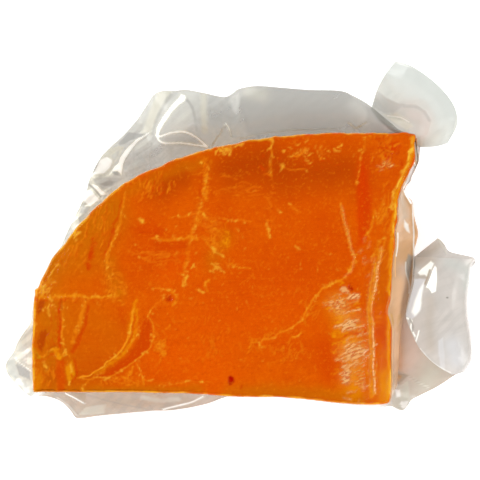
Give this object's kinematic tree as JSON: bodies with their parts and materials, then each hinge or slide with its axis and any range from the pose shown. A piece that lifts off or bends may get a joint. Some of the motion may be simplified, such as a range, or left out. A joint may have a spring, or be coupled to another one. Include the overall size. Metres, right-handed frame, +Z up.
{
  "type": "vacuum-packed mimolette cheese",
  "caption": "Slice of hard orange cheese, a quarter of a round ball's section, sealed under vacuum in a clear pouch with a loose, crumpled margin.",
  "frame": {"origin": "on the underside, at the middle of the slice's length and height", "axes": "+X along the straight cut towards the ball's axis, +Y from the ball's equator towards its top, +Z up through the slice's thickness"},
  "size_m": [0.1361, 0.1032, 0.0301],
  "materials": {
    "cheese": "deep orange pressed cheese, smooth and faintly waxy under the clinging film",
    "film": "clear vacuum film, glossy, greyish and hazy where two layers lie together or crumple"
  },
  "bodies": {
    "root": {"cheese_slice": "cheese", "vacuum_pouch": "film"}
  },
  "joints": []
}
